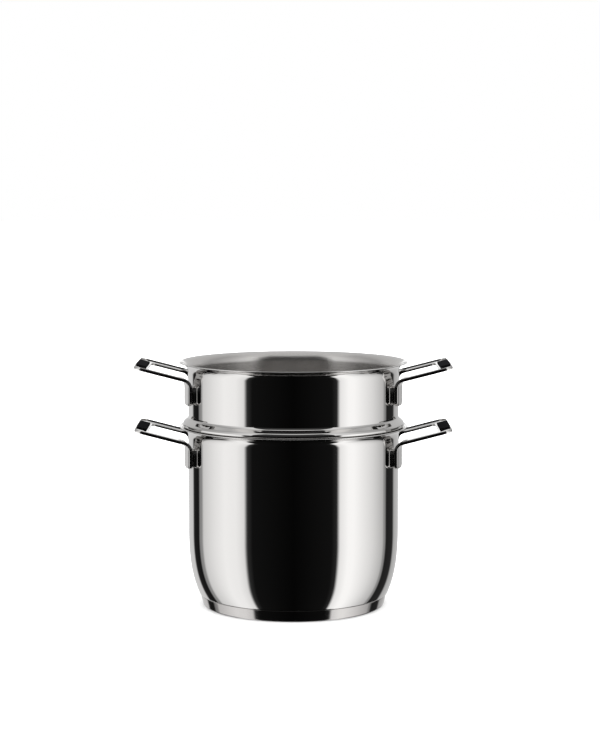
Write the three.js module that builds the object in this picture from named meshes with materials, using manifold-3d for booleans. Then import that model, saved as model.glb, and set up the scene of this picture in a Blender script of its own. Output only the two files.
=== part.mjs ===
// Pasta pot: a stockpot with a capsule base and a colander that stands in its flared rim.
// Millimetres, +Z up. The origin is the centre of the base's underside, and the handles lie along X.
import * as THREE from 'three';
import { mergeGeometries, mergeVertices } from 'three/addons/utils/BufferGeometryUtils.js';
import Module from 'manifold-3d';

const wasm = await Module();
wasm.setup();

// Fits between pieces
const SEAT_GAP = 0.3;

// Steel sheet and the wall that both vessels share
const SHEET = 1;
const WALL_INNER_RADIUS = 100;
const WALL_RADIUS = WALL_INNER_RADIUS + SHEET;
const FACETS = 40;
const ARC_STEPS = 4;

// Flared pouring rim of both vessels
const FLARE_RADIUS = 8.7;
const FLARE_ANGLE = THREE.MathUtils.degToRad(90);
const POT_RIM_Z = 173.7;
const COLANDER_RISE = 61.6;
const COLANDER_RIM_Z = POT_RIM_Z + COLANDER_RISE;
const FLARE_RISE = (FLARE_RADIUS + SHEET) * Math.sin(FLARE_ANGLE);

// Capsule base: a steel cap round a heat-spreading disc
const CAP_SHEET = 0.8;
const CAP_HEIGHT = 10.5;
const CAP_INSET = 11.3;
const CAP_TOP_RADIUS = WALL_RADIUS - CAP_INSET;
const CAP_TAPER = 2.2;
const CAP_FOOT_RADIUS = CAP_TOP_RADIUS - CAP_TAPER;
const CAP_EDGE_RADIUS = 2;
const CAP_LAP = 2.5;
const CORE_MARGIN = 2;

// Curved foot of the pot, from the straight wall to the seam over the cap
const SEAM_LIP = 1.1;
const SEAM_HEIGHT = 1.1;
const FOOT_CURVE_HEIGHT = 60.4;
const FOOT_PULL_WALL = 28;
const FOOT_PULL_SEAM = 16;
const FOOT_LEAN = THREE.MathUtils.degToRad(24.6);
const FOOT_STEPS = 6;
const FLOOR_INSET = 9.8;

// Colander: bead, seat and basket, with the bead's heights over the pot's rim
const BEAD_OUT = 5;
const BEAD_LOW = 0.5;
const BEAD_MIDDLE = 1.4;
const BEAD_TOP = 9.5;
const BEAD_RADIUS = 5.2;
const BEAD_STEPS = 2;
const SEAT_ANGLE_HIGH = THREE.MathUtils.degToRad(60);
const SEAT_ANGLE_LOW = THREE.MathUtils.degToRad(24);
const SEAT_STEPS = 2;
const BASKET_CLEARANCE = 3.4;
const BASKET_NECK = 10;
const BASKET_CORNER = 22;
const BASKET_LIFT = 25;

// Holes of the basket
const HOLE_DIAMETER = 6;
const HOLE_SIDES = 6;
const HOLE_MARGIN = 10;
const HOLE_CUT = 4 * SHEET;
const WALL_HOLE_PITCH = 14;
const FLOOR_HOLE_PITCH = 16;
const FLOOR_RING_STEP = 6;

// Handles: a flat bar bent to a loop, with two legs on the wall
const BAR_THICKNESS = 3.4;
const BAR_WIDTH = 15.5;
const HANDLE_WIDTH = 92;
const HANDLE_LENGTH = 49.5;
const HANDLE_REACH = WALL_RADIUS + HANDLE_LENGTH;
const GRIP_WIDTH = 12.8;
const HANDLE_SLOPE = THREE.MathUtils.degToRad(14.4);
const BEND_RADIUS = 6;
const HANDLE_CORNER = 10;
const GRIP_FILLET = 5;
const LEG_CORNER = 4.4;
const LEG_TURN = THREE.MathUtils.degToRad(18.9);
const ARM_DROP = 12.15;
const LEG_DROP = 38;
const POT_HANDLE_Z = 174.9;
const COLANDER_HANDLE_Z = 234.5;
const BEND_STEPS = 5;
const CORNER_STEPS = 3;
const BAR_STATIONS = 16;

// Weld pads that carry the legs clear of the wall
const PAD_THICKNESS = 2.8;
const PAD_WIDTH = 13.4;
const PAD_HEIGHT = 17.5;
const PAD_RISE = 1.2;
const PAD_SHIFT = 5.9;

// Black inlay in the top of each cross bar
const INLAY_THICKNESS = 1.2;
const INLAY_LENGTH = 47;
const INLAY_MARGIN = 0.9;
const INLAY_CORNER = 1.5;

const STEEL = { color: 0xc9c8c6, roughness: 0.08, metalness: 1 };
const CAP_STEEL = { color: 0xbdbbb8, roughness: 0.25, metalness: 1 };
const ALUMINIUM = { color: 0xb0b2b4, roughness: 0.5, metalness: 1 };
const BLACK = { color: 0x1c1b1b, roughness: 0.7, metalness: 0 };

function material(look) {
  return new THREE.MeshStandardMaterial(look);
}

function named(name, geometry, look) {
  const mesh = new THREE.Mesh(geometry, material(look));
  mesh.name = name;
  return mesh;
}

// A closed mesh as a solid that can be joined and cut
function solid(geometry) {
  const bare = geometry.clone();
  bare.deleteAttribute('normal');
  bare.deleteAttribute('uv');
  const merged = mergeVertices(bare, 1e-4);
  const mesh = new wasm.Mesh({
    numProp: 3,
    vertProperties: new Float32Array(merged.attributes.position.array),
    triVerts: new Uint32Array(merged.index.array),
  });
  return new wasm.Manifold(mesh);
}

function geometryOf(body) {
  const mesh = body.getMesh();
  const geometry = new THREE.BufferGeometry();
  geometry.setAttribute('position', new THREE.BufferAttribute(new Float32Array(mesh.vertProperties), 3));
  geometry.setIndex(new THREE.BufferAttribute(new Uint32Array(mesh.triVerts), 1));
  geometry.computeVertexNormals();
  return geometry;
}

// Turns a profile of radius and height about the Z axis
function turned(profile) {
  return new THREE.LatheGeometry(profile, FACETS).rotateX(Math.PI / 2);
}

function point(radius, height) {
  return new THREE.Vector2(radius, height);
}

// Points on an arc about a centre, from one angle to another
function arc(centre, radius, from, to, steps) {
  return Array.from({ length: steps + 1 }, (_, i) => {
    const angle = from + ((to - from) * i) / steps;
    return point(centre.x + radius * Math.cos(angle), centre.y + radius * Math.sin(angle));
  });
}

// A sheet profile: the outer line from the axis to the rim, and the same line set in by the thickness
function sheet(outer, thickness) {
  const inner = outer.map((p, i) => {
    const before = outer[Math.max(i - 1, 0)];
    const after = outer[Math.min(i + 1, outer.length - 1)];
    const a = i > 0 ? p.clone().sub(before).normalize() : after.clone().sub(p).normalize();
    const b = i < outer.length - 1 ? after.clone().sub(p).normalize() : a;
    const normal = point(-a.y - b.y, a.x + b.x).normalize();
    const stretch = thickness / normal.dot(point(-a.y, a.x));
    return p.clone().addScaledVector(normal, stretch);
  });
  inner[0].x = outer[0].x;
  return [...outer, ...inner.reverse()];
}

// The flare's outer line: it leaves the wall upright and turns outwards
function flare(rimHeight) {
  const centre = flareCentre(rimHeight);
  return arc(centre, FLARE_RADIUS, Math.PI, Math.PI - FLARE_ANGLE, ARC_STEPS);
}

function flareCentre(rimHeight) {
  return point(WALL_RADIUS + FLARE_RADIUS, rimHeight - FLARE_RISE);
}

// Heights in the capsule base
const CORE_FLOOR_Z = CAP_SHEET + SEAT_GAP;
const POT_FLOOR_Z = CAP_HEIGHT - CAP_LAP;
const CORE_TOP_Z = POT_FLOOR_Z - SEAT_GAP;
const SEAM_Z = CAP_HEIGHT + SEAM_HEIGHT;
const SEAM_RADIUS = CAP_TOP_RADIUS + SEAM_LIP;

function potBody() {
  const wallFoot = point(WALL_RADIUS, SEAM_Z + FOOT_CURVE_HEIGHT);
  const seam = point(SEAM_RADIUS, SEAM_Z);
  const foot = new THREE.CubicBezierCurve(
    seam,
    point(seam.x + FOOT_PULL_SEAM * Math.sin(FOOT_LEAN), seam.y + FOOT_PULL_SEAM * Math.cos(FOOT_LEAN)),
    point(wallFoot.x, wallFoot.y - FOOT_PULL_WALL),
    wallFoot,
  );
  const outer = [point(0, POT_FLOOR_Z), point(SEAM_RADIUS - FLOOR_INSET, POT_FLOOR_Z)];
  outer.push(...foot.getPoints(FOOT_STEPS), ...flare(POT_RIM_Z));
  return named('pot_body', turned(sheet(outer, SHEET)), STEEL);
}

function baseCap() {
  const lean = Math.atan2(CAP_TOP_RADIUS - CAP_FOOT_RADIUS, CAP_HEIGHT - CAP_EDGE_RADIUS);
  const edge = point(CAP_FOOT_RADIUS - CAP_EDGE_RADIUS, CAP_EDGE_RADIUS);
  const outer = [point(0, 0), ...arc(edge, CAP_EDGE_RADIUS, -Math.PI / 2, -lean, ARC_STEPS)];
  outer.push(point(CAP_TOP_RADIUS, CAP_HEIGHT));
  return named('base_cap', turned(sheet(outer, CAP_SHEET)), CAP_STEEL);
}

function baseCore() {
  const radius = CAP_FOOT_RADIUS - CAP_SHEET - CORE_MARGIN;
  const profile = [point(0, CORE_FLOOR_Z), point(radius, CORE_FLOOR_Z)];
  profile.push(point(radius, CORE_TOP_Z), point(0, CORE_TOP_Z));
  return named('base_core', turned(profile), ALUMINIUM);
}

// The colander's seat lies on the inside of the pot's flare
const SEAT_RADIUS = FLARE_RADIUS + SHEET + SEAT_GAP;
const SEAT_LOW_Z = flareCentre(POT_RIM_Z).y + SEAT_RADIUS * Math.sin(SEAT_ANGLE_LOW);

// The basket hangs inside the pot, clear of its wall and floor
const BASKET_RADIUS = WALL_INNER_RADIUS - BASKET_CLEARANCE;
const BASKET_FLOOR_Z = POT_FLOOR_Z + SHEET + BASKET_LIFT;
const BASKET_FLOOR_RADIUS = BASKET_RADIUS - BASKET_CORNER;
const BASKET_WALL_LOW = BASKET_FLOOR_Z + BASKET_CORNER;
const BASKET_WALL_HIGH = SEAT_LOW_Z - BASKET_NECK;

function colanderShell() {
  const corner = point(BASKET_FLOOR_RADIUS, BASKET_WALL_LOW);
  const seatFrom = Math.PI - SEAT_ANGLE_LOW;
  const seat = arc(flareCentre(POT_RIM_Z), SEAT_RADIUS, seatFrom, Math.PI - SEAT_ANGLE_HIGH, SEAT_STEPS);
  const turn = 2 * Math.atan2(BEAD_OUT, BEAD_TOP - BEAD_MIDDLE);
  const footRadius = (BEAD_TOP - BEAD_MIDDLE) / Math.sin(turn) - BEAD_RADIUS;
  const beadCentre = point(WALL_RADIUS + BEAD_OUT - BEAD_RADIUS, POT_RIM_Z + BEAD_MIDDLE);
  const footCentre = point(WALL_RADIUS + footRadius, POT_RIM_Z + BEAD_TOP);
  const foot = arc(footCentre, footRadius, Math.PI + turn, Math.PI, BEAD_STEPS);
  const outer = [point(0, BASKET_FLOOR_Z), ...arc(corner, BASKET_CORNER, -Math.PI / 2, 0, ARC_STEPS)];
  outer.push(point(BASKET_RADIUS, BASKET_WALL_HIGH), ...seat);
  outer.push(point(WALL_RADIUS + BEAD_OUT, POT_RIM_Z + BEAD_LOW));
  outer.push(...arc(beadCentre, BEAD_RADIUS, 0, turn, BEAD_STEPS), ...foot.slice(1), ...flare(COLANDER_RIM_Z));
  return turned(sheet(outer, SHEET));
}

// A cutter for one hole, its axis along Y
function holeCutter() {
  const radius = HOLE_DIAMETER / 2;
  return new THREE.CylinderGeometry(radius, radius, HOLE_CUT, HOLE_SIDES);
}

// One hole to a facet, and every other row set off by half a facet
function wallHoles() {
  const room = BASKET_WALL_HIGH - BASKET_WALL_LOW - 2 * HOLE_MARGIN;
  const steps = Math.floor(room / WALL_HOLE_PITCH);
  const first = (BASKET_WALL_LOW + BASKET_WALL_HIGH - steps * WALL_HOLE_PITCH) / 2;
  const holes = [];
  for (let row = 0; row <= steps; row += 1) {
    for (let facet = 0; facet < FACETS; facet += 1) {
      const hole = holeCutter().translate(0, -BASKET_RADIUS + SHEET / 2, 0);
      hole.rotateZ(((facet + (row % 2) / 2) * 2 * Math.PI) / FACETS);
      holes.push(hole.translate(0, 0, first + row * WALL_HOLE_PITCH));
    }
  }
  return holes;
}

// Rings round one hole in the middle, each with a step's more holes than the last
function floorHoles() {
  const rings = Math.floor((BASKET_FLOOR_RADIUS - HOLE_MARGIN) / FLOOR_HOLE_PITCH);
  const holes = [];
  for (let ring = 0; ring <= rings; ring += 1) {
    const reach = ring * FLOOR_HOLE_PITCH;
    const count = Math.max(FLOOR_RING_STEP * ring, 1);
    for (let i = 0; i < count; i += 1) {
      const angle = (2 * Math.PI * i) / count;
      const hole = holeCutter().rotateX(Math.PI / 2);
      hole.translate(reach * Math.cos(angle), reach * Math.sin(angle), BASKET_FLOOR_Z + SHEET / 2);
      holes.push(hole);
    }
  }
  return holes;
}

function colanderBody() {
  const holes = solid(mergeGeometries([...wallHoles(), ...floorHoles()]));
  return named('colander_body', geometryOf(solid(colanderShell()).subtract(holes)), STEEL);
}

// Handle sizes that follow from the bar and the wall
const LEG_FALL = Math.tan(LEG_TURN);
const LEG_REACH = WALL_RADIUS + PAD_THICKNESS + 2 * SEAT_GAP + BAR_THICKNESS * Math.cos(LEG_TURN);
const LEG_OUTER_X = LEG_REACH / Math.cos(LEG_TURN);
const HALF_WIDTH = HANDLE_WIDTH / 2;
const HALF_GAP = HALF_WIDTH - BAR_WIDTH;
const GRIP_INNER = HANDLE_REACH - GRIP_WIDTH;
const TAN_SLOPE = Math.tan(HANDLE_SLOPE);
const BAR_FALL = BAR_THICKNESS / Math.cos(HANDLE_SLOPE);

// How far the flat legs fall back from the handle's middle, so that each lies along the round wall
function fallBack(y) {
  return LEG_FALL * Math.abs(y);
}

function armTop(x, level) {
  return level - ARM_DROP + (x - WALL_RADIUS) * TAN_SLOPE;
}

// Side view of the bent bar: leg, bend and arm
function barProfile(level) {
  const bendX = LEG_OUTER_X + BEND_RADIUS;
  const under = armTop(bendX, level) - BAR_FALL;
  const bend = point(bendX, under - BEND_RADIUS / Math.cos(HANDLE_SLOPE));
  const last = Math.PI / 2 + HANDLE_SLOPE;
  const end = HANDLE_REACH + fallBack(HALF_WIDTH) + BAR_THICKNESS;
  const low = level - LEG_DROP - BAR_THICKNESS;
  const points = [point(LEG_OUTER_X, low), ...arc(bend, BEND_RADIUS, Math.PI, last, BEND_STEPS)];
  points.push(point(end, armTop(end, level) - BAR_FALL), point(end, armTop(end, level)));
  points.push(...arc(bend, BEND_RADIUS + BAR_THICKNESS, last, Math.PI, BEND_STEPS));
  points.push(point(LEG_OUTER_X - BAR_THICKNESS, low));
  return new THREE.Shape(points);
}

// The bent bar at full width, drawn along Y and fallen back along the arms' slope
function bentPlate(level) {
  const depth = HANDLE_WIDTH + 2 * BAR_THICKNESS;
  const options = { depth, steps: BAR_STATIONS, bevelEnabled: false };
  const plate = new THREE.ExtrudeGeometry(barProfile(level), options);
  plate.translate(0, 0, -depth / 2).rotateX(Math.PI / 2);
  const place = plate.attributes.position;
  for (let i = 0; i < place.count; i += 1) {
    const back = fallBack(place.getY(i));
    place.setX(i, place.getX(i) - back);
    place.setZ(i, place.getZ(i) - back * TAN_SLOPE);
  }
  return plate;
}

function prism(shape, depth) {
  return new THREE.ExtrudeGeometry(shape, { depth, bevelEnabled: false, curveSegments: CORNER_STEPS });
}

// Plan outline: square at the wall, with round corners at the grip
function planOutline() {
  const shape = new THREE.Shape();
  const near = WALL_RADIUS - fallBack(HALF_WIDTH) - BAR_THICKNESS;
  const cornerX = HANDLE_REACH - HANDLE_CORNER;
  const cornerY = HALF_WIDTH - HANDLE_CORNER;
  shape.moveTo(near, -HALF_WIDTH).lineTo(cornerX, -HALF_WIDTH);
  shape.absarc(cornerX, -cornerY, HANDLE_CORNER, -Math.PI / 2, 0);
  shape.absarc(cornerX, cornerY, HANDLE_CORNER, 0, Math.PI / 2);
  return shape.lineTo(near, HALF_WIDTH);
}

// The finger opening, which also parts the two legs
function gapOutline() {
  const shape = new THREE.Shape();
  const near = WALL_RADIUS - fallBack(HALF_WIDTH) - 2 * BAR_THICKNESS;
  const cornerX = GRIP_INNER - GRIP_FILLET;
  const cornerY = HALF_GAP - GRIP_FILLET;
  shape.moveTo(near, -HALF_GAP).lineTo(cornerX, -HALF_GAP);
  shape.absarc(cornerX, -cornerY, GRIP_FILLET, -Math.PI / 2, 0);
  shape.absarc(cornerX, cornerY, GRIP_FILLET, 0, Math.PI / 2);
  return shape.lineTo(near, HALF_GAP);
}

// The two legs seen from outside, with round lower corners
function legOutline(level) {
  const shape = new THREE.Shape();
  const low = level - LEG_DROP + LEG_CORNER;
  const top = armTop(HANDLE_REACH, level) + BAR_THICKNESS;
  const inside = HALF_GAP + LEG_CORNER;
  const outside = HALF_WIDTH - LEG_CORNER;
  shape.moveTo(-HALF_WIDTH, top).lineTo(-HALF_WIDTH, low);
  shape.absarc(-outside, low, LEG_CORNER, Math.PI, 1.5 * Math.PI);
  shape.absarc(-inside, low, LEG_CORNER, 1.5 * Math.PI, 2 * Math.PI);
  shape.absarc(inside, low, LEG_CORNER, Math.PI, 1.5 * Math.PI);
  shape.absarc(outside, low, LEG_CORNER, 1.5 * Math.PI, 2 * Math.PI);
  return shape.lineTo(HALF_WIDTH, top);
}

function handleBar(level) {
  const height = 2 * LEG_DROP;
  const low = level - height;
  const plan = solid(prism(planOutline(), 2 * height).translate(0, 0, low));
  const gap = solid(prism(gapOutline(), 2 * height).translate(0, 0, low));
  const legs = solid(prism(legOutline(level), HANDLE_REACH).rotateX(Math.PI / 2).rotateZ(Math.PI / 2));
  const recess = solid(inlayBlock(SEAT_GAP).applyMatrix4(inlayPlace(level)));
  return solid(bentPlate(level)).intersect(plan).intersect(legs).subtract(gap).subtract(recess);
}

// The inlay lies in the cross bar's top, in the slope of the arms
function inlayPlace(level) {
  const middle = HANDLE_REACH - GRIP_WIDTH / 2;
  const turn = new THREE.Matrix4().makeRotationY(-HANDLE_SLOPE);
  return turn.setPosition(middle, 0, armTop(middle, level));
}

function inlayBlock(margin) {
  const halfX = GRIP_WIDTH / Math.cos(HANDLE_SLOPE) / 2 - INLAY_MARGIN - SEAT_GAP + margin;
  const halfY = INLAY_LENGTH / 2 + margin;
  const corner = INLAY_CORNER + margin;
  const shape = new THREE.Shape();
  shape.absarc(halfX - corner, halfY - corner, corner, 0, Math.PI / 2);
  shape.absarc(corner - halfX, halfY - corner, corner, Math.PI / 2, Math.PI);
  shape.absarc(corner - halfX, corner - halfY, corner, Math.PI, 1.5 * Math.PI);
  shape.absarc(halfX - corner, corner - halfY, corner, 1.5 * Math.PI, 2 * Math.PI);
  const depth = INLAY_THICKNESS + 2 * margin;
  return prism(shape, depth).translate(0, 0, -INLAY_THICKNESS - margin);
}

function weldPad(name, side, level) {
  const pad = named(name, new THREE.BoxGeometry(PAD_THICKNESS, PAD_WIDTH, PAD_HEIGHT), CAP_STEEL);
  const reach = WALL_RADIUS + SEAT_GAP + PAD_THICKNESS / 2;
  const height = level - LEG_DROP + PAD_RISE + PAD_HEIGHT / 2;
  pad.position.set(reach, side * PAD_SHIFT, height);
  pad.position.applyAxisAngle(new THREE.Vector3(0, 0, 1), side * LEG_TURN);
  pad.rotation.z = side * LEG_TURN;
  return pad;
}

// One handle with its inlay and weld pads, on the +X side
function handle(vessel, side, level) {
  const group = new THREE.Group();
  const inlay = named(`${vessel}_grip_inlay_${side}`, inlayBlock(0), BLACK);
  inlay.applyMatrix4(inlayPlace(level));
  group.add(named(`${vessel}_handle_${side}`, geometryOf(handleBar(level)), STEEL), inlay);
  group.add(weldPad(`${vessel}_weld_pad_${side}_a`, -1, level));
  group.add(weldPad(`${vessel}_weld_pad_${side}_b`, 1, level));
  return group;
}

function handles(vessel, level) {
  const pair = new THREE.Group();
  const left = handle(vessel, 'left', level);
  left.rotation.z = Math.PI;
  return pair.add(handle(vessel, 'right', level), left);
}

const pot = new THREE.Group();
pot.add(potBody(), baseCore(), baseCap(), handles('pot', POT_HANDLE_Z));

const colander = new THREE.Group();
colander.add(colanderBody(), handles('colander', COLANDER_HANDLE_Z));

const pastaPot = new THREE.Group();
pastaPot.add(pot, colander);

export default pastaPot;
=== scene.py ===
"""Looks of the pasta pot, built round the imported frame.

Sizes are millimetres until a mesh is made. Profiles are lists of (radius, height) points.
"""
import math

import bmesh
import bpy
import numpy as np
from mathutils.geometry import delaunay_2d_cdt
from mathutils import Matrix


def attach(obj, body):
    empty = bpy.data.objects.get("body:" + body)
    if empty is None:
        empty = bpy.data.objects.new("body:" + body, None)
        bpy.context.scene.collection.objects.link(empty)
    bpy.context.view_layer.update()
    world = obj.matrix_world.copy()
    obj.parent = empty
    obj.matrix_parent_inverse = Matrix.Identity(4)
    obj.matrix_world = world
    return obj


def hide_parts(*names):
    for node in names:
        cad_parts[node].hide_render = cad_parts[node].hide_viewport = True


MM = 0.001

# Meshing: points round a vessel, steps on arcs in degrees, steps on lines and the points near their ends
SEGMENTS = 240
ARC_STEP = 4.0
LINE_STEP = 6.0
LINE_SUPPORTS = (0.25, 1.0, 3.0)
EDGE_STEPS = 6
SHARP_ANGLE = math.radians(40.0)
# Where points count as one: on a profile, on the basket's floor and, in metres, in a finished mesh
SAME_POINT = 1e-4
SAME_FLOOR_POINT = 1e-6
MERGE_DISTANCE = 1e-7

# Steel sheet, the wall that both vessels share and the gap between pieces that meet
SHEET = 1.0
WALL_RADIUS = 101.0
BASKET_RADIUS = 96.6
SEAT_GAP = 0.3

# Flared rims, polished on the last few steps of their inside
FLARE_RADIUS = 8.7
FLARE_END = 86.0
FLARE_RISE = FLARE_RADIUS + SHEET
LIP_STEPS = 7
POT_RIM_Z = 173.7
COLANDER_RIM_Z = 235.3

# Capsule base and curved foot
CAP_SHEET = 0.8
CAP_HEIGHT = 10.5
CAP_TOP_RADIUS = 89.7
CAP_FOOT_RADIUS = 87.5
CAP_EDGE = 2.0
SEAM_RADIUS = 90.8
SEAM_Z = 11.6
SEAM_EDGE = 1.15
FOOT_TOP_Z = 72.0
FOOT_PULL_SEAM = 16.0
FOOT_PULL_WALL = 28.0
FOOT_LEAN = 24.6
FOOT_POINTS = 41
POT_FLOOR_Z = 8.0
POT_FLOOR_RADIUS = 81.0
POT_FLOOR_BEND = 6.0

# Colander: seat on the pot's rim, bead, foot and basket
SEAT_RADIUS = FLARE_RADIUS + SHEET + SEAT_GAP
SEAT_ANGLE_LOW = 24.0
SEAT_ANGLE_HIGH = 60.0
BEAD_REACH = 106.0
BEAD_LOW_Z = 174.2
BEAD_EDGE = 1.05
BEAD_Z = 175.8
BEAD_RADIUS = 3.4
BEAD_SLOPE = 49.5
BEAD_FILLET = 3.0
BASKET_FLOOR_Z = 34.0
BASKET_CORNER = 22.0
BASKET_NECK_Z = 158.07
BASKET_NECK_BEND = 8.0

# Holes of the basket, each in a cell of the sheet with rings of points round it
HOLE_RADIUS = 3.0
HOLE_EDGE = 0.16
HOLE_SUPPORT = 3.4
HOLE_POINTS = 24
MIDDLE_RING = 0.45
CELLS = 40
CELL_HEIGHT = 14.0
HOLE_ROWS = 6
FIRST_HOLE_Z = 72.19
FLOOR_PITCH = 16.0
FLOOR_RINGS = 4
FLOOR_RING_STEP = 6
FLOOR_FLAT_RADIUS = 72.0

# Handles of flat bar, with a shallow tray in the top inside a raised outer edge
BAR_THICKNESS = 3.4
BAR_WIDTH = 15.5
HALF_WIDTH = 46.0
HANDLE_REACH = 150.5
GRIP_WIDTH = 12.8
HANDLE_SLOPE = math.radians(14.4)
BEND_RADIUS = 6.0
HANDLE_CORNER = 10.0
GRIP_FILLET = 5.0
LEG_CORNER = 4.4
LEG_TURN = math.radians(18.9)
LEG_DROP = 38.0
ARM_DROP = 12.15
TRAY_DEPTH = 1.1
TRAY_RUN = 5.0
LIP_WIDTH = 1.0
LIP_SLANT = 0.15
POT_HANDLE_Z = 174.9
COLANDER_HANDLE_Z = 234.5
# Width and depth of the bar's rounded edges: on top, under the outer side and under the inner side
TOP_EDGE = (0.45, 0.3)
OUTER_EDGE = (2.2, 0.6)
INNER_EDGE = (0.6, 0.4)
# Points along the bar's edge: the leg's corner, the leg, the bend, the arm, the grip's corner and the grip
LEG_CORNER_POINTS = 10
LEG_POINTS = 7
BEND_POINTS = 15
ARM_POINTS = 15
GRIP_CORNER_POINTS = 16
GRIP_POINTS = 9

# Weld pads and grip inlays
PAD_THICKNESS = 2.8
PAD_WIDTH = 13.4
PAD_HEIGHT = 17.5
PAD_CORNER = 3.6
PAD_RISE = 1.2
PAD_SHIFT = 5.9
PAD_OVERLAP = 0.05
# Shares of the way from the wall to the leg, and how much a pad is flared there
PAD_FLARE = ((0.0, 0.5), (0.1, 0.25), (0.3, 0.0), (0.75, 0.0), (1.0, 0.25))
INLAY_THICKNESS = 1.2
INLAY_RISE = 1.3
INLAY_LENGTH = 47.0
INLAY_HALF_WIDTH = 5.15
INLAY_CORNER = 1.2
INLAY_EDGE = 0.3
INLAY_GAP = 0.15

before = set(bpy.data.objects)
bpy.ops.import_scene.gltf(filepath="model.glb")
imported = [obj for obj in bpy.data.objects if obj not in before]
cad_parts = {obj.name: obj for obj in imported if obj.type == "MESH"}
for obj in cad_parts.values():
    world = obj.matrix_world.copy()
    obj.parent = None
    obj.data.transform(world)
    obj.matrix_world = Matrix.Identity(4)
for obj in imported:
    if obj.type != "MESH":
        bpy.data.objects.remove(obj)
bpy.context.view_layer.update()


def arc(centre, radius, start, end):
    """Points on an arc of the profile plane, from one angle to another in degrees."""
    steps = max(2, math.ceil(abs(end - start) / ARC_STEP))
    angles = np.radians(np.linspace(start, end, steps + 1))
    return np.asarray(centre) + radius * np.column_stack([np.cos(angles), np.sin(angles)])


def straight(start, end):
    """Points on a line, closer together near its ends so that the shading there stays true."""
    start, end = np.asarray(start, float), np.asarray(end, float)
    length = np.linalg.norm(end - start)
    ends = [d for d in LINE_SUPPORTS if d < length / 2]
    margin = LINE_SUPPORTS[-1] + LINE_STEP / 2
    inner = np.arange(margin, length - margin, LINE_STEP)
    places = np.array(sorted([0.0, length, *ends, *(length - d for d in ends), *inner]))
    return start + (end - start) * (places / length)[:, None]


def fillet(before, corner, after, radius):
    """An arc that rounds the corner between two straight lines."""
    before, corner, after = (np.asarray(p, float) for p in (before, corner, after))
    into = (corner - before) / np.linalg.norm(corner - before)
    out = (after - corner) / np.linalg.norm(after - corner)
    turn = math.atan2(into[0] * out[1] - into[1] * out[0], into @ out)
    reach = radius * math.tan(abs(turn) / 2)
    side = math.copysign(1.0, turn) * np.array([-into[1], into[0]])
    centre = corner - into * reach + side * radius
    first = math.degrees(math.atan2(*-side[::-1]))
    return arc(centre, radius, first, first + math.degrees(turn))


def joined(*parts):
    """One profile from several, without the points that repeat."""
    line = np.vstack(parts)
    keep = np.r_[True, np.linalg.norm(np.diff(line, axis=0), axis=1) > SAME_POINT]
    return line[keep]


def left_normals(line):
    """Unit normals to the left of the way along a profile, and how far a mitre there stretches."""
    steps = np.diff(line, axis=0)
    steps /= np.linalg.norm(steps, axis=1)[:, None]
    before = np.vstack([steps[:1], steps])
    after = np.vstack([steps, steps[-1:]])
    normals = np.column_stack([-(before + after)[:, 1], (before + after)[:, 0]])
    normals /= np.linalg.norm(normals, axis=1)[:, None]
    stretch = np.einsum("ij,ij->i", normals, np.column_stack([-before[:, 1], before[:, 0]]))
    return normals, stretch


def inset(line, distance):
    """The profile moved to its left, and kept from crossing the axis."""
    normals, stretch = left_normals(line)
    inner = line + normals * (distance / stretch)[:, None]
    inner[:, 0] = np.maximum(inner[:, 0], 0.0)
    return inner


def rim_edge(outer, inner):
    """The rounded edge that joins the end of the outer line to the end of the inner one."""
    across = outer[-1] - inner[-1]
    start = math.degrees(math.atan2(across[1], across[0]))
    return arc((outer[-1] + inner[-1]) / 2, np.linalg.norm(across) / 2, start, start + 180.0)


def smooth(mesh):
    mesh.shade_smooth()
    mesh.set_sharp_from_angle(angle=SHARP_ANGLE)


class Shell:
    """Collects the grids of one piece, and welds them into a mesh."""

    def __init__(self):
        self.places = []
        self.faces = []
        self.kinds = []
        self.count = 0

    def add(self, places, faces, kind=0):
        places = np.asarray(places, float).reshape(-1, 3)
        self.faces += [tuple(i + self.count for i in face) for face in faces]
        self.kinds += [kind] * len(faces)
        self.places.append(places)
        self.count += len(places)

    def grid(self, rows, kind=0):
        """Quads between rows of points, each of which joins its last point to its first."""
        rows = np.asarray(rows, float)
        height, width = rows.shape[:2]
        faces = []
        for i in range(height - 1):
            for j in range(width):
                k = (j + 1) % width
                faces.append((i * width + j, i * width + k, (i + 1) * width + k, (i + 1) * width + j))
        self.add(rows, faces, kind)

    def revolve(self, line, kind=0):
        """A profile turned round the Z axis."""
        angles = np.linspace(0.0, 2 * math.pi, SEGMENTS, endpoint=False)
        radii, heights = line[:, 0][:, None], line[:, 1][:, None]
        rows = np.stack(
            [radii * np.cos(angles), radii * np.sin(angles), heights * np.ones_like(angles)], axis=-1
        )
        self.grid(rows, kind)

    def piece(self, name, materials):
        mesh = bpy.data.meshes.new(name)
        mesh.from_pydata((np.vstack(self.places) * MM).tolist(), [], self.faces)
        mesh.polygons.foreach_set("material_index", self.kinds)
        form = bmesh.new()
        form.from_mesh(mesh)
        bmesh.ops.remove_doubles(form, verts=form.verts, dist=MERGE_DISTANCE)
        bmesh.ops.recalc_face_normals(form, faces=form.faces)
        form.to_mesh(mesh)
        form.free()
        smooth(mesh)
        for material in materials:
            mesh.materials.append(material)
        piece = bpy.data.objects.new(name, mesh)
        bpy.context.scene.collection.objects.link(piece)
        return piece


def seat_in_frame(piece, body, slot, *nodes):
    """Puts a finished piece on its body, in place of its CAD nodes."""
    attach(piece, body)
    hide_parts(*nodes)


# Materials

STEEL_COLOUR = (0.64, 0.63, 0.62)
SATIN_COLOUR = (0.64, 0.625, 0.61)
BASE_COLOUR = (0.5, 0.485, 0.475)
WELD_COLOUR = (0.5, 0.49, 0.48)
BLACK_COLOUR = (0.006, 0.006, 0.0065)
CORE_COLOUR = (0.66, 0.67, 0.68)
METAL, PLASTIC = 1.0, 0.0
NOISE_RANGE = (0.3, 0.7)
QUARTER_TURN = 0.25


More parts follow.
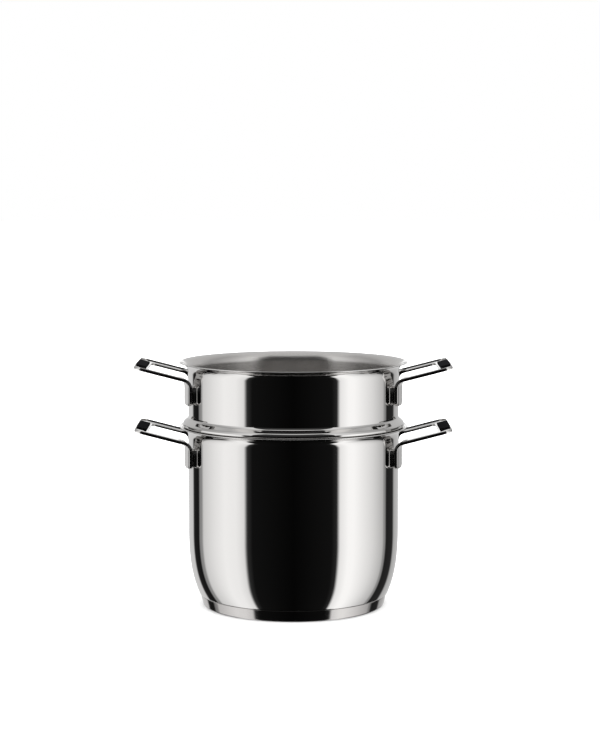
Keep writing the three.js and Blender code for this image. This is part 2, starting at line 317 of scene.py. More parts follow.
def node(tree, kind, **settings):
    made = tree.nodes.new(kind)
    for key, value in settings.items():
        setattr(made, key, value)
    return made


def math_node(tree, operation, first, second=None):
    made = node(tree, "ShaderNodeMath", operation=operation)
    for socket, value in zip(made.inputs, (first, second)):
        if isinstance(value, bpy.types.NodeSocket):
            tree.links.new(value, socket)
        elif value is not None:
            socket.default_value = value
    return made.outputs[0]


def blank_material(name, colour, metallic, roughness):
    material = bpy.data.materials.new(name)
    material.use_nodes = True
    shader = material.node_tree.nodes["Principled BSDF"]
    shader.inputs["Base Color"].default_value = (*colour, 1.0)
    shader.inputs["Metallic"].default_value = metallic
    shader.inputs["Roughness"].default_value = roughness
    return material, material.node_tree, shader


def noise(tree, vector, scale, detail=2.0):
    texture = node(tree, "ShaderNodeTexNoise")
    texture.inputs["Scale"].default_value = scale
    texture.inputs["Detail"].default_value = detail
    tree.links.new(vector, texture.inputs["Vector"])
    return texture.outputs["Fac"]


def spread(tree, value, low, high):
    """Maps a noise value to a range."""
    made = node(tree, "ShaderNodeMapRange")
    made.inputs["From Min"].default_value = NOISE_RANGE[0]
    made.inputs["From Max"].default_value = NOISE_RANGE[1]
    made.inputs["To Min"].default_value = low
    made.inputs["To Max"].default_value = high
    tree.links.new(value, made.inputs["Value"])
    return made.outputs["Result"]


def object_place(tree):
    return node(tree, "ShaderNodeTexCoord").outputs["Object"]


def turned_place(tree, along, across):
    """Coordinates for marks that run round the Z axis: slow along a mark, and fast across it."""
    split = node(tree, "ShaderNodeSeparateXYZ")
    tree.links.new(object_place(tree), split.inputs[0])
    x, y, z = split.outputs
    squares = [math_node(tree, "MULTIPLY", value, value) for value in (x, y)]
    radius = math_node(tree, "SQRT", math_node(tree, "ADD", *squares))
    place = node(tree, "ShaderNodeCombineXYZ")
    tree.links.new(math_node(tree, "MULTIPLY", x, along), place.inputs[0])
    tree.links.new(math_node(tree, "MULTIPLY", y, along), place.inputs[1])
    reach = math_node(tree, "ADD", radius, z)
    tree.links.new(math_node(tree, "MULTIPLY", reach, across), place.inputs[2])
    return place.outputs[0]


def bump(tree, shader, height, strength, distance):
    made = node(tree, "ShaderNodeBump")
    made.inputs["Strength"].default_value = strength
    made.inputs["Distance"].default_value = distance
    tree.links.new(height, made.inputs["Height"])
    tree.links.new(made.outputs["Normal"], shader.inputs["Normal"])


def polished_steel(name):
    """Mirror polish with faint marks round the vessel and slow changes in gloss."""
    material, tree, shader = blank_material(name, STEEL_COLOUR, METAL, roughness=0.03)
    marks = noise(tree, turned_place(tree, along=30.0, across=2600.0), scale=1.0)
    smears = noise(tree, object_place(tree), scale=26.0, detail=4.0)
    fine = spread(tree, marks, low=0.02, high=0.035)
    slow = spread(tree, smears, low=0.0, high=0.012)
    gloss = math_node(tree, "ADD", fine, slow)
    tree.links.new(gloss, shader.inputs["Roughness"])
    return material


def brushed_round(tree, shader, amount):
    """Turns the gloss to suit brushing that runs round the Z axis."""
    shader.inputs["Anisotropic"].default_value = amount
    shader.inputs["Anisotropic Rotation"].default_value = QUARTER_TURN
    tangent = node(tree, "ShaderNodeTangent", direction_type="RADIAL", axis="Z")
    tree.links.new(tangent.outputs[0], shader.inputs["Tangent"])


def satin_steel(name):
    """Fine turned brushing, as on the inside of a vessel."""
    material, tree, shader = blank_material(name, SATIN_COLOUR, METAL, roughness=0.22)
    brushed_round(tree, shader, amount=1.0)
    lines = noise(tree, turned_place(tree, along=14.0, across=3200.0), scale=1.0, detail=3.0)
    bands = noise(tree, turned_place(tree, along=6.0, across=260.0), scale=1.0)
    fine = spread(tree, lines, low=0.16, high=0.21)
    slow = spread(tree, bands, low=0.0, high=0.03)
    gloss = math_node(tree, "ADD", fine, slow)
    tree.links.new(gloss, shader.inputs["Roughness"])
    bump(tree, shader, lines, strength=0.8, distance=0.00007)
    return material


def base_steel(name):
    """Turned finish of the base cap."""
    material, tree, shader = blank_material(name, BASE_COLOUR, METAL, roughness=0.07)
    lines = noise(tree, turned_place(tree, along=10.0, across=2200.0), scale=1.0, detail=3.0)
    tree.links.new(spread(tree, lines, low=0.05, high=0.09), shader.inputs["Roughness"])
    bump(tree, shader, lines, strength=0.08, distance=0.00002)
    return material


def bar_steel(name):
    """Polished bar with slight unevenness from bending and hand polishing."""
    material, tree, shader = blank_material(name, STEEL_COLOUR, METAL, roughness=0.04)
    smears = noise(tree, object_place(tree), scale=90.0, detail=4.0)
    tree.links.new(spread(tree, smears, low=0.03, high=0.055), shader.inputs["Roughness"])
    waves = noise(tree, object_place(tree), scale=160.0)
    bump(tree, shader, waves, strength=0.04, distance=0.00003)
    return material


def weld_steel(name):
    """Plain steel of the weld pads."""
    material, tree, shader = blank_material(name, WELD_COLOUR, METAL, roughness=0.35)
    grain = noise(tree, object_place(tree), scale=900.0, detail=3.0)
    tree.links.new(spread(tree, grain, low=0.06, high=0.12), shader.inputs["Roughness"])
    bump(tree, shader, grain, strength=0.06, distance=0.00005)
    return material


def black_plastic(name):
    """Matte black plastic with a fine moulded grain."""
    material, tree, shader = blank_material(name, BLACK_COLOUR, PLASTIC, roughness=0.7)
    shader.inputs["Specular IOR Level"].default_value = 0.0
    grain = noise(tree, object_place(tree), scale=2400.0)
    tree.links.new(spread(tree, grain, low=0.62, high=0.78), shader.inputs["Roughness"])
    bump(tree, shader, grain, strength=0.25, distance=0.00008)
    return material


def core_metal(name):
    """Plain metal of the disc in the base."""
    material, tree, shader = blank_material(name, CORE_COLOUR, METAL, roughness=0.4)
    grain = noise(tree, object_place(tree), scale=700.0, detail=3.0)
    tree.links.new(spread(tree, grain, low=0.35, high=0.5), shader.inputs["Roughness"])
    return material


POLISHED = polished_steel("polished_steel")
SATIN = satin_steel("satin_steel")
BASE = base_steel("turned_base_steel")
BAR = bar_steel("polished_bar")
WELD = weld_steel("weld_steel")
BLACK = black_plastic("black_plastic")


# Vessels; the numbers are the places of their two materials

OUTSIDE, INSIDE = 0, 1


def flare_centre(rim):
    return WALL_RADIUS + FLARE_RADIUS, rim - FLARE_RISE


def flare(rim):
    return arc(flare_centre(rim), FLARE_RADIUS, 180.0, 180.0 - FLARE_END)


def foot_curve():
    """The pot's foot, a cubic curve from the seam up to the straight wall."""
    lean = math.radians(FOOT_LEAN)
    seam = np.array([SEAM_RADIUS, SEAM_Z])
    pull = seam + FOOT_PULL_SEAM * np.array([math.sin(lean), math.cos(lean)])
    top = np.array([WALL_RADIUS, FOOT_TOP_Z])
    ease = top - np.array([0.0, FOOT_PULL_WALL])
    t = np.linspace(0.0, 1.0, FOOT_POINTS)[:, None]
    return (1 - t) ** 3 * seam + 3 * (1 - t) ** 2 * t * pull + 3 * (1 - t) * t ** 2 * ease + t ** 3 * top


def vessel_wall(shell, outer, inner):
    """The outside, the rim's edge and the inside, which is satin up to its polished lip."""
    shell.revolve(outer, OUTSIDE)
    shell.revolve(rim_edge(outer, inner), OUTSIDE)
    shell.revolve(inner[:-LIP_STEPS], INSIDE)
    shell.revolve(inner[-LIP_STEPS - 1:], OUTSIDE)


def pot_shell():
    foot = foot_curve()
    edge = (POT_FLOOR_RADIUS, POT_FLOOR_Z)
    floor_bend = fillet((0.0, POT_FLOOR_Z), edge, foot[0], POT_FLOOR_BEND)
    seam_bend = fillet(edge, foot[0], foot[1], SEAM_EDGE)
    outer = joined(
        straight((0.0, POT_FLOOR_Z), floor_bend[0]),
        floor_bend,
        straight(floor_bend[-1], seam_bend[0]),
        seam_bend,
        foot[1:],
        straight(foot[-1], flare(POT_RIM_Z)[0]),
        flare(POT_RIM_Z),
    )
    shell = Shell()
    vessel_wall(shell, outer, inset(outer, SHEET))
    piece = shell.piece("pot_shell", [POLISHED, SATIN])
    seat_in_frame(piece, "pot", "polished_steel", "pot_body")


def base_cap():
    lean = math.degrees(math.atan2(CAP_TOP_RADIUS - CAP_FOOT_RADIUS, CAP_HEIGHT - CAP_EDGE))
    bend = arc((CAP_FOOT_RADIUS - CAP_EDGE, CAP_EDGE), CAP_EDGE, -90.0, -lean)
    outer = joined(straight((0.0, 0.0), bend[0]), bend, straight(bend[-1], (CAP_TOP_RADIUS, CAP_HEIGHT)))
    inner = inset(outer, CAP_SHEET)
    shell = Shell()
    shell.revolve(outer)
    shell.revolve(rim_edge(outer, inner))
    shell.revolve(inner)
    seat_in_frame(shell.piece("base_cap_shell", [BASE]), "pot", "base_steel", "base_cap")


def colander_lines():
    """The colander's outer line under its band of holes, and above it."""
    corner = (BASKET_RADIUS - BASKET_CORNER, BASKET_FLOOR_Z + BASKET_CORNER)
    bend = arc(corner, BASKET_CORNER, -90.0, 0.0)
    band_low = FIRST_HOLE_Z - CELL_HEIGHT / 2
    low = joined(
        straight((FLOOR_FLAT_RADIUS, BASKET_FLOOR_Z), bend[0]),
        bend,
        straight(bend[-1], (BASKET_RADIUS, band_low)),
    )
    seat = arc(flare_centre(POT_RIM_Z), SEAT_RADIUS, 180.0 - SEAT_ANGLE_LOW, 180.0 - SEAT_ANGLE_HIGH)
    bead = arc((BEAD_REACH - BEAD_RADIUS, BEAD_Z), BEAD_RADIUS, 0.0, BEAD_SLOPE)
    slope = math.radians(BEAD_SLOPE)
    inner = WALL_RADIUS + BEAD_FILLET * (1 - math.cos(slope))
    rise = (bead[-1][0] - inner) / math.tan(slope) + BEAD_FILLET * math.sin(slope)
    foot = arc((WALL_RADIUS + BEAD_FILLET, bead[-1][1] + rise), BEAD_FILLET, 180.0 + BEAD_SLOPE, 180.0)
    bead_edge = fillet(seat[-1], (BEAD_REACH, BEAD_LOW_Z), bead[0], BEAD_EDGE)
    neck = (BASKET_RADIUS, BASKET_NECK_Z)
    neck_bend = fillet((BASKET_RADIUS, band_low), neck, seat[0], BASKET_NECK_BEND)
    band_high = band_low + HOLE_ROWS * CELL_HEIGHT
    high = joined(
        straight((BASKET_RADIUS, band_high), neck_bend[0]),
        neck_bend,
        straight(neck_bend[-1], seat[0]),
        seat,
        bead_edge,
        bead,
        straight(bead[-1], foot[0]),
        foot,
        straight(foot[-1], flare(COLANDER_RIM_Z)[0]),
        flare(COLANDER_RIM_Z),
    )
    return low, high


def hole_loop(radius):
    """Points round a hole's middle, in the sheet's plane."""
    angles = np.linspace(0.0, 2 * math.pi, HOLE_POINTS, endpoint=False)
    return radius * np.column_stack([np.cos(angles), np.sin(angles)])


def cell_border():
    """The border of one cell, as shares of its half width and half height, in step with a hole's points."""
    quarter = HOLE_POINTS // 4
    rise = np.linspace(-1.0, 1.0, quarter, endpoint=False)
    one = np.ones(quarter)
    sides = [(one, rise), (-rise, one), (-one, -rise), (rise, -one)]
    loop = np.vstack([np.column_stack(side) for side in sides])
    return np.roll(loop, -(quarter // 2), axis=0)


def hole_rings(border):
    """Rings from a cell's border to the hole: each is its flat places and how deep it lies in the sheet."""
    support = hole_loop(HOLE_SUPPORT)
    middle = MIDDLE_RING * border + (1 - MIDDLE_RING) * support
    flat = [border, middle, support, hole_loop(HOLE_RADIUS + HOLE_EDGE)]
    rings = [(ring, 0.0) for ring in flat] + [(hole_loop(HOLE_RADIUS), HOLE_EDGE)]
    return rings + [(ring, SHEET - depth) for ring, depth in reversed(rings)]


def punched_wall(shell):
    """The basket's wall as rows of cells, each row half a cell on from the last."""
    half_width = math.pi / CELLS * BASKET_RADIUS
    border = cell_border() * (half_width, CELL_HEIGHT / 2)
    rings = hole_rings(border)
    half = len(rings) // 2
    flat = np.array([ring for ring, _ in rings])
    radii = np.array([BASKET_RADIUS - depth for _, depth in rings])[:, None]
    for row in range(HOLE_ROWS):
        height = FIRST_HOLE_Z + row * CELL_HEIGHT
        for cell in range(CELLS):
            turn = 2 * math.pi * (cell + (row % 2) / 2) / CELLS + flat[:, :, 0] / BASKET_RADIUS
            rows = np.stack([radii * np.cos(turn), radii * np.sin(turn), height + flat[:, :, 1]], axis=-1)
            shell.grid(rows[:half], OUTSIDE)
            shell.grid(rows[half - 1:], INSIDE)


def floor_hole_places():
    """The holes' middles, on rings round the middle of the floor."""
    places = []
    for ring in range(FLOOR_RINGS + 1):
        count = max(FLOOR_RING_STEP * ring, 1)
        angles = 2 * math.pi * np.arange(count) / count
        places += list(ring * FLOOR_PITCH * np.column_stack([np.cos(angles), np.sin(angles)]))
    return np.array(places)


def floor_sheet(holes):
    """Triangles of the basket's flat floor round the holes' supports."""
    turn = np.linspace(0.0, 2 * math.pi, SEGMENTS, endpoint=False)
    loops = [FLOOR_FLAT_RADIUS * np.column_stack([np.cos(turn), np.sin(turn)])]
    loops += [hole + hole_loop(HOLE_SUPPORT) for hole in holes]
    edges, first = [], 0
    for loop in loops:
        edges += [(first + i, first + (i + 1) % len(loop)) for i in range(len(loop))]
        first += len(loop)
    places, _, triangles, *_ = delaunay_2d_cdt(np.vstack(loops).tolist(), edges, [], 0, SAME_FLOOR_POINT)
    flat = np.array([tuple(place) for place in places])
    middles = flat[np.array(triangles)].mean(axis=1)
    gaps = np.linalg.norm(middles[:, None] - holes[None], axis=2).min(axis=1)
    return flat, [triangle for triangle, gap in zip(triangles, gaps) if gap > HOLE_SUPPORT]


def punched_floor(shell):
    """Both faces of the floor's sheet, and the holes through it from support to support."""
    holes = floor_hole_places()
    flat, triangles = floor_sheet(holes)
    for height, kind in ((BASKET_FLOOR_Z, OUTSIDE), (BASKET_FLOOR_Z + SHEET, INSIDE)):
        shell.add(np.column_stack([flat, np.full(len(flat), height)]), triangles, kind)
    rings = hole_rings(cell_border())[2:-2]
    for hole in holes:
        rows = []
        for ring, depth in rings:
            heights = np.full(HOLE_POINTS, BASKET_FLOOR_Z + depth)
            rows.append(np.column_stack([hole + ring, heights]))
        shell.grid(rows, INSIDE)


def colander_shell():
    low, high = colander_lines()
    shell = Shell()
    shell.revolve(low, OUTSIDE)
    shell.revolve(inset(low, SHEET), INSIDE)
    vessel_wall(shell, high, inset(high, SHEET))
    punched_wall(shell)
    punched_floor(shell)
    piece = shell.piece("colander_shell", [POLISHED, SATIN])
    seat_in_frame(piece, "colander", "polished_steel", "colander_body")


# Handles, drawn on the +X side with the vessel's rim at height 0

TAN_SLOPE = math.tan(HANDLE_SLOPE)
COS_SLOPE = math.cos(HANDLE_SLOPE)
SIN_SLOPE = math.sin(HANDLE_SLOPE)
LEG_FALL = math.tan(LEG_TURN)
LEG_REACH = WALL_RADIUS + PAD_THICKNESS + 2 * SEAT_GAP + BAR_THICKNESS * math.cos(LEG_TURN)
LEG_OUTER_X = LEG_REACH / math.cos(LEG_TURN)
MID_RADIUS = BEND_RADIUS + BAR_THICKNESS / 2
BEND_X = LEG_OUTER_X + BEND_RADIUS


def arm_top(x):
    """Height of the arms' top at a place along X."""
    return (x - WALL_RADIUS) * TAN_SLOPE - ARM_DROP


BEND_Z = arm_top(BEND_X) - (BAR_THICKNESS + BEND_RADIUS) / COS_SLOPE
LEG_RUN = BEND_Z + LEG_DROP
BEND_RUN = MID_RADIUS * (math.pi / 2 - HANDLE_SLOPE)
ARM_START = LEG_RUN + BEND_RUN
ARM_START_X = BEND_X - MID_RADIUS * SIN_SLOPE


def fall_back(y):
    """How far the flat legs fall back from the handle's middle, to lie along the round wall."""
    return LEG_FALL * np.abs(y)


def bar_place(flat):
    """Points of the bent bar's middle surface, from lengths along it and places across it."""
    s, y = flat[:, 0], flat[:, 1]
    angle = np.clip((s - LEG_RUN) / MID_RADIUS, 0.0, BEND_RUN / MID_RADIUS)
    leg = np.minimum(s - LEG_RUN, 0.0)
    arm = np.maximum(s - ARM_START, 0.0)
    x = BEND_X - MID_RADIUS * np.cos(angle) + arm * COS_SLOPE
    z = BEND_Z + MID_RADIUS * np.sin(angle) + leg + arm * SIN_SLOPE
    back = fall_back(y)
    return np.column_stack([x - back, y, z - back * TAN_SLOPE])


def unit(vectors):
    return vectors / np.linalg.norm(vectors, axis=1)[:, None]


def bar_normals(flat):
    """Unit normals of the middle surface, on the side of the arms' top."""
    angle = np.clip((flat[:, 0] - LEG_RUN) / MID_RADIUS, 0.0, BEND_RUN / MID_RADIUS)
    along = np.column_stack([np.sin(angle), np.zeros(len(flat)), np.cos(angle)])
    fall = LEG_FALL * np.sign(flat[:, 1])
    across = np.column_stack([-fall, np.ones(len(flat)), -fall * TAN_SLOPE])
    return unit(np.cross(along, across))


def arm_length(x, y):
    """The length along the bar at a place on its arm in plan."""
    return ARM_START + (x + fall_back(y) - ARM_START_X) / COS_SLOPE


def bar_edge(y, end_x, corner, leg_side):
    """One edge of a half handle as (length, across) points, from the leg's end to the middle of the grip."""
    turn = np.radians(np.linspace(0.0, 90.0, LEG_CORNER_POINTS))
    leg_y = y + leg_side * LEG_CORNER * (1 - np.sin(turn))
    leg_s = LEG_CORNER * (1 - np.cos(turn)) + fall_back(leg_y) * TAN_SLOPE
    leg = np.linspace(leg_s[-1], LEG_RUN, LEG_POINTS)[1:]
    bend = np.linspace(LEG_RUN, ARM_START, BEND_POINTS)[1:]
    centre_x, centre_y = end_x - corner, abs(y) - corner
    arm = np.linspace(ARM_START, arm_length(centre_x, y), ARM_POINTS)[1:]
    run = np.concatenate([leg, bend, arm])
    round_off = np.radians(np.linspace(0.0, 90.0, GRIP_CORNER_POINTS))[1:]
    grip = np.linspace(-centre_y, 0.0, GRIP_POINTS)[1:]
    grip_x = np.concatenate([centre_x + corner * np.sin(round_off), np.full(len(grip), end_x)])
    grip_y = np.concatenate([-centre_y - corner * np.cos(round_off), grip])
    return np.vstack([
        np.column_stack([leg_s, leg_y]),
        np.column_stack([run, np.full(len(run), y)]),
        np.column_stack([arm_length(grip_x, grip_y), grip_y]),
    ])


def whole_edge(half):
    """A half handle's edge and its mirror image, as one line."""
    return np.vstack([half, half[-2::-1] * (1, -1)])


class BarEdge:
    """An edge of the bar in space, with the ways into the bar and up through it at each station."""

    def __init__(self, flat, turn):
        self.run = flat[:, 0]
        self.places = bar_place(flat)
        self.up = bar_normals(flat)
        middle = len(flat) // 2
        self.up[middle] = unit(self.up[middle - 1:middle] + self.up[middle + 1:middle + 2])[0]
        self.into = turn * unit(np.cross(self.up, np.gradient(self.places, axis=0)))

    def line(self, depth, out):
        """The edge moved into the bar and up from its middle surface."""
        depth = np.broadcast_to(depth, self.run.shape)
        out = np.broadcast_to(out, self.run.shape)
        return self.places + self.into * depth[:, None] + self.up * out[:, None]


def rounding(size):
    """A rounded edge from the face to the side: how far in from the side and down from the face."""
    turn = np.radians(np.linspace(0.0, 90.0, EDGE_STEPS + 1))
    return list(zip(size[0] * (1 - np.sin(turn)), size[1] * (1 - np.cos(turn))))


def bar_sections():
    """Closed rings of points round the bar, one for each station along it, and the points on one side."""
    reach = HANDLE_REACH - BAR_THICKNESS / 2 * SIN_SLOPE
    outer = BarEdge(whole_edge(bar_edge(-HALF_WIDTH, reach, HANDLE_CORNER, 1.0)), 1.0)
    inner_x = HANDLE_REACH - GRIP_WIDTH
    inner = BarEdge(whole_edge(bar_edge(BAR_WIDTH - HALF_WIDTH, inner_x, GRIP_FILLET, -1.0)), -1.0)
    half = BAR_THICKNESS / 2
    rise = np.clip((outer.run - ARM_START) / TRAY_RUN, 0.0, 1.0)
    tray = half - TRAY_DEPTH * rise ** 2 * (3 - 2 * rise)
    lines = [outer.line(depth, half - down) for depth, down in rounding(TOP_EDGE)]
    lines += [outer.line(depth, down - half) for depth, down in rounding(OUTER_EDGE)[::-1]]
    lines += [inner.line(depth, down - half) for depth, down in rounding(INNER_EDGE)]
    lines += [inner.line(depth, tray - down) for depth, down in rounding(TOP_EDGE)[::-1]]
    side = len(lines) // 2
    lines += [outer.line(LIP_WIDTH + LIP_SLANT, tray), outer.line(LIP_WIDTH, half)]
    return np.stack(lines, axis=1), side


def bar_shell():
    """The bent bar, with its two ends filled from side to side."""
    sections, side = bar_sections()
    stations, ring = sections.shape[:2]
    shell = Shell()
    shell.grid(sections)
    for first in (0, (stations - 1) * ring):
        ends = [(i, i + 1, 2 * side - 2 - i, 2 * side - 1 - i) for i in range(side - 1)]
        ends.append((*range(2 * side - 1, ring), 0))
        shell.faces += [tuple(first + i for i in end) for end in ends]
        shell.kinds += [0] * len(ends)
    return shell


def slope_place(flat, out):
    """Points over the cross bar's top: along the slope and across, from the middle of the grip."""
    middle = HANDLE_REACH - GRIP_WIDTH / 2
    x = middle + flat[:, 0] * COS_SLOPE - out * SIN_SLOPE
    z = arm_top(middle) + flat[:, 0] * SIN_SLOPE + out * COS_SLOPE
    return np.column_stack([x, flat[:, 1], z])


def rounded_outline(half_x, half_y, corner):
    """A rectangle with rounded corners, as a closed loop of points."""
    turn = np.radians(np.linspace(0.0, 90.0, EDGE_STEPS + 1))
    quarter = np.column_stack([np.cos(turn), np.sin(turn)]) * corner
    quarter_turn = np.array([[0, 1], [-1, 0]])
    loops = []
    for sx, sy in ((1, 1), (-1, 1), (-1, -1), (1, -1)):
        loops.append(quarter + (sx * (half_x - corner), sy * (half_y - corner)))
        quarter = quarter @ quarter_turn
    return np.vstack(loops)


def block_shell(rings):
    """A closed block from rings of points, with its first and last rings filled."""
    shell = Shell()
    width = len(rings[0])
    shell.grid(rings)
    shell.faces.append(tuple(range(width)))
    shell.faces.append(tuple(range(shell.count - width, shell.count)))
    shell.kinds += [0, 0]
    return shell


def inlay_outline(grow):
    """The inlay's outline, grown or shrunk all round."""
    return rounded_outline(INLAY_HALF_WIDTH + grow, INLAY_LENGTH / 2 + grow, INLAY_CORNER + grow)


def inlay_shell():
    """A black pad let into the cross bar's tray, with a rounded top edge."""
    rings = [slope_place(inlay_outline(0.0), -TRAY_DEPTH - INLAY_THICKNESS)]
    for depth, down in rounding((INLAY_EDGE, INLAY_EDGE))[::-1]:
        rings.append(slope_place(inlay_outline(-depth), INLAY_RISE - TRAY_DEPTH - down))
    return block_shell(rings)


def recess_shell():
    """What the inlay's recess takes out of the bar."""
    outline = inlay_outline(INLAY_GAP)
    low = -TRAY_DEPTH - INLAY_THICKNESS - INLAY_GAP
    return block_shell([slope_place(outline, low), slope_place(outline, -TRAY_DEPTH / 2)])


def pad_shell(side):
    """A weld pad between the wall and a leg, flared a little at both welds."""
    middle = PAD_RISE + PAD_HEIGHT / 2 - LEG_DROP
    wall = WALL_RADIUS - PAD_OVERLAP
    leg = LEG_REACH - BAR_THICKNESS * math.cos(LEG_TURN) + PAD_OVERLAP
    rings = []
    for share, grow in PAD_FLARE:
        flat = rounded_outline(PAD_WIDTH / 2 + grow, PAD_HEIGHT / 2 + grow, PAD_CORNER + grow)
        across = flat[:, 0] + PAD_SHIFT
        skin = np.sqrt(wall ** 2 - across ** 2)
        reach = skin + (leg - skin) * share
        x = reach * math.cos(LEG_TURN) - across * math.sin(LEG_TURN)
        y = reach * math.sin(LEG_TURN) + across * math.cos(LEG_TURN)
        rings.append(np.column_stack([x, side * y, middle + flat[:, 1]]))
    return block_shell(rings)


def placed(shell, rim, side):
    """The same shell at a vessel's rim height, turned half round for the left side."""
    shell.places = [places * (side, side, 1.0) + (0.0, 0.0, rim) for places in shell.places]
    return shell


def cut(piece, cutter):
    """Takes the cutter away from the piece, and removes the cutter."""
    change = piece.modifiers.new("recess", "BOOLEAN")
    change.object = cutter
    change.solver = "EXACT"
    shape = piece.evaluated_get(bpy.context.evaluated_depsgraph_get())
    mesh = bpy.data.meshes.new_from_object(shape)
    piece.modifiers.remove(change)
    piece.data = mesh
    mesh.name = piece.name
    smooth(mesh)
    bpy.data.objects.remove(cutter)


def handle(vessel, rim, side_name, side):
    """One handle with its inlay and weld pads."""
    name = f"{vessel}_handle_{side_name}"
    bar = placed(bar_shell(), rim, side).piece(f"{name}_bar", [BAR])
    cut(bar, placed(recess_shell(), rim, side).piece(f"{name}_recess", [BAR]))
    seat_in_frame(bar, vessel, "handle_steel", name)
    inlay_name = f"{vessel}_grip_inlay_{side_name}"
    inlay = placed(inlay_shell(), rim, side).piece(f"{inlay_name}_pad", [BLACK])
    seat_in_frame(inlay, vessel, "inlay_black", inlay_name)
    for letter, pad_side in (("a", -1.0), ("b", 1.0)):
        pad_name = f"{vessel}_weld_pad_{side_name}_{letter}"
        pad = placed(pad_shell(pad_side), rim, side).piece(f"{pad_name}_weld", [WELD])
        seat_in_frame(pad, vessel, "weld_steel", pad_name)


def core():
    """The sealed disc in the base keeps its CAD shape."""
    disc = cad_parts["base_core"].data
    disc.materials.clear()
    disc.materials.append(core_metal("core_aluminium"))


# Studio: a softbox on each side, a white backdrop, a dark front and a pale floor

FLOOR_SIZE = 30.0
FLOOR_COLOUR = (0.86, 0.86, 0.86)
TOP_LIGHT = 7.0
TOP_LIGHT_ANGLE = 100.0
# Camera: place in metres, pitch down in degrees, lens and sensor in millimetres
CAMERA_PLACE = (0.006286, -1.9214, 0.4149)
CAMERA_PITCH = 5.757
CAMERA_LENS = 96.53
CAMERA_SENSOR = 36.0
# Azimuth from the front in degrees, left of it below zero, and the brightness there
STUDIO = (
    (-180, 0.72), (-144, 0.78), (-140, 0.02), (-126, 0.01), (-123.5, 0.35), (-119, 0.37), (-115.5, 0.88),
    (-95, 1.16), (-80, 1.32), (-65, 1.28), (-55, 1.08), (-51.5, 0.04), (-45, 0.008), (0, 0.0025),
    (42, 0.008), (48.5, 0.03), (51.5, 1.2), (62, 1.46), (69, 1.46), (96, 1.04), (115, 0.66),
    (116, 0.4), (119, 0.38), (122, 0.02), (139, 0.03), (144, 0.55), (180, 0.72),
)
# The same between the lights and the ceiling, on both sides alike
UPPER_STUDIO = (
    (0, 0.05), (42.5, 0.05), (43.5, 1.0), (62, 0.9), (80, 0.66), (112, 0.42), (132, 0.64), (180, 0.66),
)
# Directions below are parts of a unit vector: x to the right, y to the back and z up
# The height over which the lights end
LIGHT_TOP = (-0.06, 0.04)
# The ceiling is oval and a little to the back: its tilt, how much narrower it is and the cosines of its edge
CEILING_TILT = 4.0
CEILING_NARROWING = 0.3
CEILING_START = (0.74, 0.83)
CEILING = 0.74
# The bright backdrop: how far back it starts, its lower and upper ends and its brightness
BACKDROP_START = (0.98, 0.991)
BACKDROP_LOW = (0.06, 0.095)
BACKDROP_HIGH = (0.3, 0.2)
BACKDROP = 1.15
# Edges of the lights keep to upright planes under the horizon: partly at the front, and fully when steep
FRONT_STRAIGHTENING = 0.45
FRONT_FALL = (-0.15, -0.6)
FRONT_DEPTH = (0.2, -0.2)
STEEP_FALL = (-0.75, -0.92)


def grey(light):
    return (light, light, light, 1.0)


def studio_range(tree, value, low, high, most=1.0):
    """Rises smoothly from 0 to the most, as the value goes from low to high."""
    made = node(tree, "ShaderNodeMapRange", interpolation_type="SMOOTHSTEP")
    for key, number in (("From Min", low), ("From Max", high), ("To Min", 0.0), ("To Max", most)):
        made.inputs[key].default_value = number
    tree.links.new(value, made.inputs["Value"])
    return made.outputs["Result"]


def studio_ramp(tree, place, lights):
    """Brightness by azimuth, as a share of the way from the first stop to the last."""
    first, last = lights[0][0], lights[-1][0]
    ramp = node(tree, "ShaderNodeValToRGB")
    tree.links.new(place, ramp.inputs["Fac"])
    stops = ramp.color_ramp.elements
    while len(stops) < len(lights):
        stops.new(0.5)
    for stop, (angle, light) in zip(stops, lights):
        stop.position = (angle - first) / (last - first)
        stop.color = grey(light)
    return ramp.outputs["Color"]


def studio_mix(tree, share, first, second):
    """The first colour where the share is 0, and the second where it is 1."""
    made = node(tree, "ShaderNodeMix", data_type="RGBA")
    tree.links.new(share, made.inputs["Factor"])
    for socket, value in ((made.inputs["A"], first), (made.inputs["B"], second)):
        if isinstance(value, bpy.types.NodeSocket):
            tree.links.new(value, socket)
        else:
            socket.default_value = value
    return made.outputs["Result"]


def studio_turn(tree, x, y, z, azimuth):
    """The azimuth, moved towards upright planes under the horizon, as a share of the whole turn."""
    half = math_node(tree, "ARCTAN2", x, math_node(tree, "SUBTRACT", 1.0, y))
    upright = math_node(tree, "MULTIPLY", half, 2.0)
    fall = studio_range(tree, z, *FRONT_FALL)
    front = studio_range(tree, y, *FRONT_DEPTH, FRONT_STRAIGHTENING)
    share = math_node(tree, "MULTIPLY", fall, front)
    share = math_node(tree, "MAXIMUM", share, studio_range(tree, z, *STEEP_FALL))
    shift = math_node(tree, "MULTIPLY", math_node(tree, "SUBTRACT", upright, azimuth), share)
    turn = math_node(tree, "ADD", azimuth, shift)
    return math_node(tree, "ADD", math_node(tree, "DIVIDE", turn, 2 * math.pi), 0.5)


def studio_sides(tree, x, y, z):
    """The lights all round, what is above them and the bright backdrop."""
    azimuth = math_node(tree, "ARCTAN2", x, math_node(tree, "MULTIPLY", y, -1.0))
    low = studio_ramp(tree, studio_turn(tree, x, y, z, azimuth), STUDIO)
    from_front = math_node(tree, "DIVIDE", math_node(tree, "ABSOLUTE", azimuth), math.pi)
    high = studio_ramp(tree, from_front, UPPER_STUDIO)
    sides = studio_mix(tree, studio_range(tree, z, *LIGHT_TOP), low, high)
    over = studio_range(tree, z, *BACKDROP_LOW)
    under = studio_range(tree, z, *BACKDROP_HIGH)
    behind = math_node(tree, "MULTIPLY", over, under)
    behind = math_node(tree, "MULTIPLY", behind, studio_range(tree, y, *BACKDROP_START))
    return studio_mix(tree, behind, sides, grey(BACKDROP))


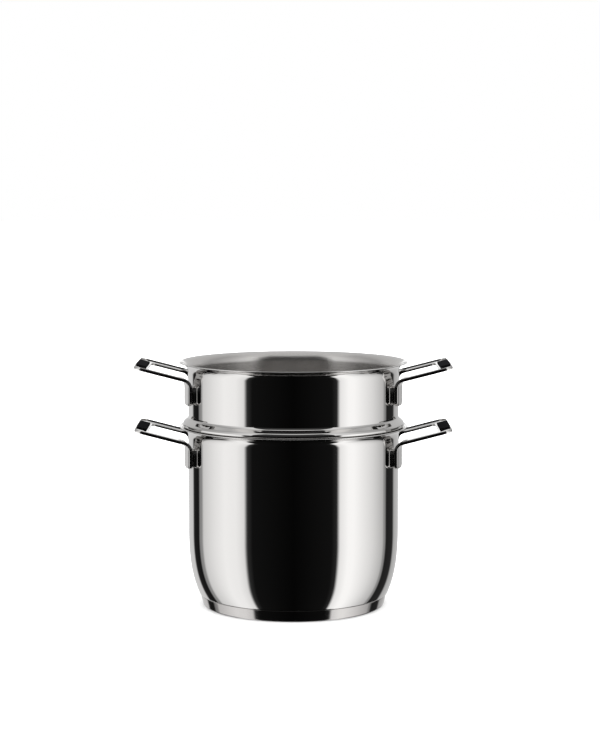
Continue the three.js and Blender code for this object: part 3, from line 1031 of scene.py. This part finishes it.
def studio_overhead(tree, x, y, z):
    """How near a direction is to the middle of the ceiling."""
    tilt = math.radians(CEILING_TILT)
    up = math_node(tree, "MULTIPLY", z, math.cos(tilt))
    back = math_node(tree, "MULTIPLY", y, math.sin(tilt))
    narrowing = math_node(tree, "MULTIPLY", math_node(tree, "MULTIPLY", x, x), CEILING_NARROWING)
    return math_node(tree, "SUBTRACT", math_node(tree, "ADD", up, back), narrowing)


def studio_world():
    """The studio that lights the steel and is reflected in it; seen directly, it is plain white."""
    world = bpy.data.worlds.new("studio")
    bpy.context.scene.world = world
    world.use_nodes = True
    tree = world.node_tree
    split = node(tree, "ShaderNodeSeparateXYZ")
    tree.links.new(node(tree, "ShaderNodeTexCoord").outputs["Generated"], split.inputs[0])
    x, y, z = split.outputs
    ceiling = studio_range(tree, studio_overhead(tree, x, y, z), *CEILING_START)
    sky = studio_mix(tree, ceiling, studio_sides(tree, x, y, z), grey(CEILING))
    camera_ray = node(tree, "ShaderNodeLightPath").outputs["Is Camera Ray"]
    seen = studio_mix(tree, camera_ray, sky, grey(1.0))
    tree.links.new(seen, tree.nodes["Background"].inputs["Color"])


def studio_floor():
    mesh = bpy.data.meshes.new("floor")
    half = FLOOR_SIZE / 2
    corners = [(-half, -half, 0), (half, -half, 0), (half, half, 0), (-half, half, 0)]
    mesh.from_pydata(corners, [], [(0, 1, 2, 3)])
    floor = bpy.data.objects.new("floor", mesh)
    bpy.context.scene.collection.objects.link(floor)
    material, tree, shader = blank_material("pale_floor", FLOOR_COLOUR, metallic=0.0, roughness=0.9)
    grain = noise(tree, object_place(tree), scale=40.0)
    tree.links.new(spread(tree, grain, low=0.85, high=0.95), shader.inputs["Roughness"])
    shader.inputs["Specular IOR Level"].default_value = 0.0
    mesh.materials.append(material)
    floor.visible_glossy = False


def studio_top_light():
    lamp = bpy.data.lights.new("top_light", "SUN")
    lamp.energy = TOP_LIGHT
    lamp.angle = math.radians(TOP_LIGHT_ANGLE)
    light = bpy.data.objects.new("top_light", lamp)
    light.visible_glossy = False
    bpy.context.scene.collection.objects.link(light)


def studio_camera():
    lens = bpy.data.cameras.new("camera")
    lens.sensor_width = CAMERA_SENSOR
    lens.lens = CAMERA_LENS
    camera = bpy.data.objects.new("camera", lens)
    camera.location = CAMERA_PLACE
    camera.rotation_euler = (math.radians(90.0 - CAMERA_PITCH), 0.0, 0.0)
    bpy.context.scene.collection.objects.link(camera)
    bpy.context.scene.camera = camera


studio_camera()
studio_world()
studio_floor()
studio_top_light()
bpy.context.scene.view_settings.view_transform = "Standard"

pot_shell()
base_cap()
core()
colander_shell()
for vessel_name, height in (("pot", POT_HANDLE_Z), ("colander", COLANDER_HANDLE_Z)):
    handle(vessel_name, height, "right", 1.0)
    handle(vessel_name, height, "left", -1.0)
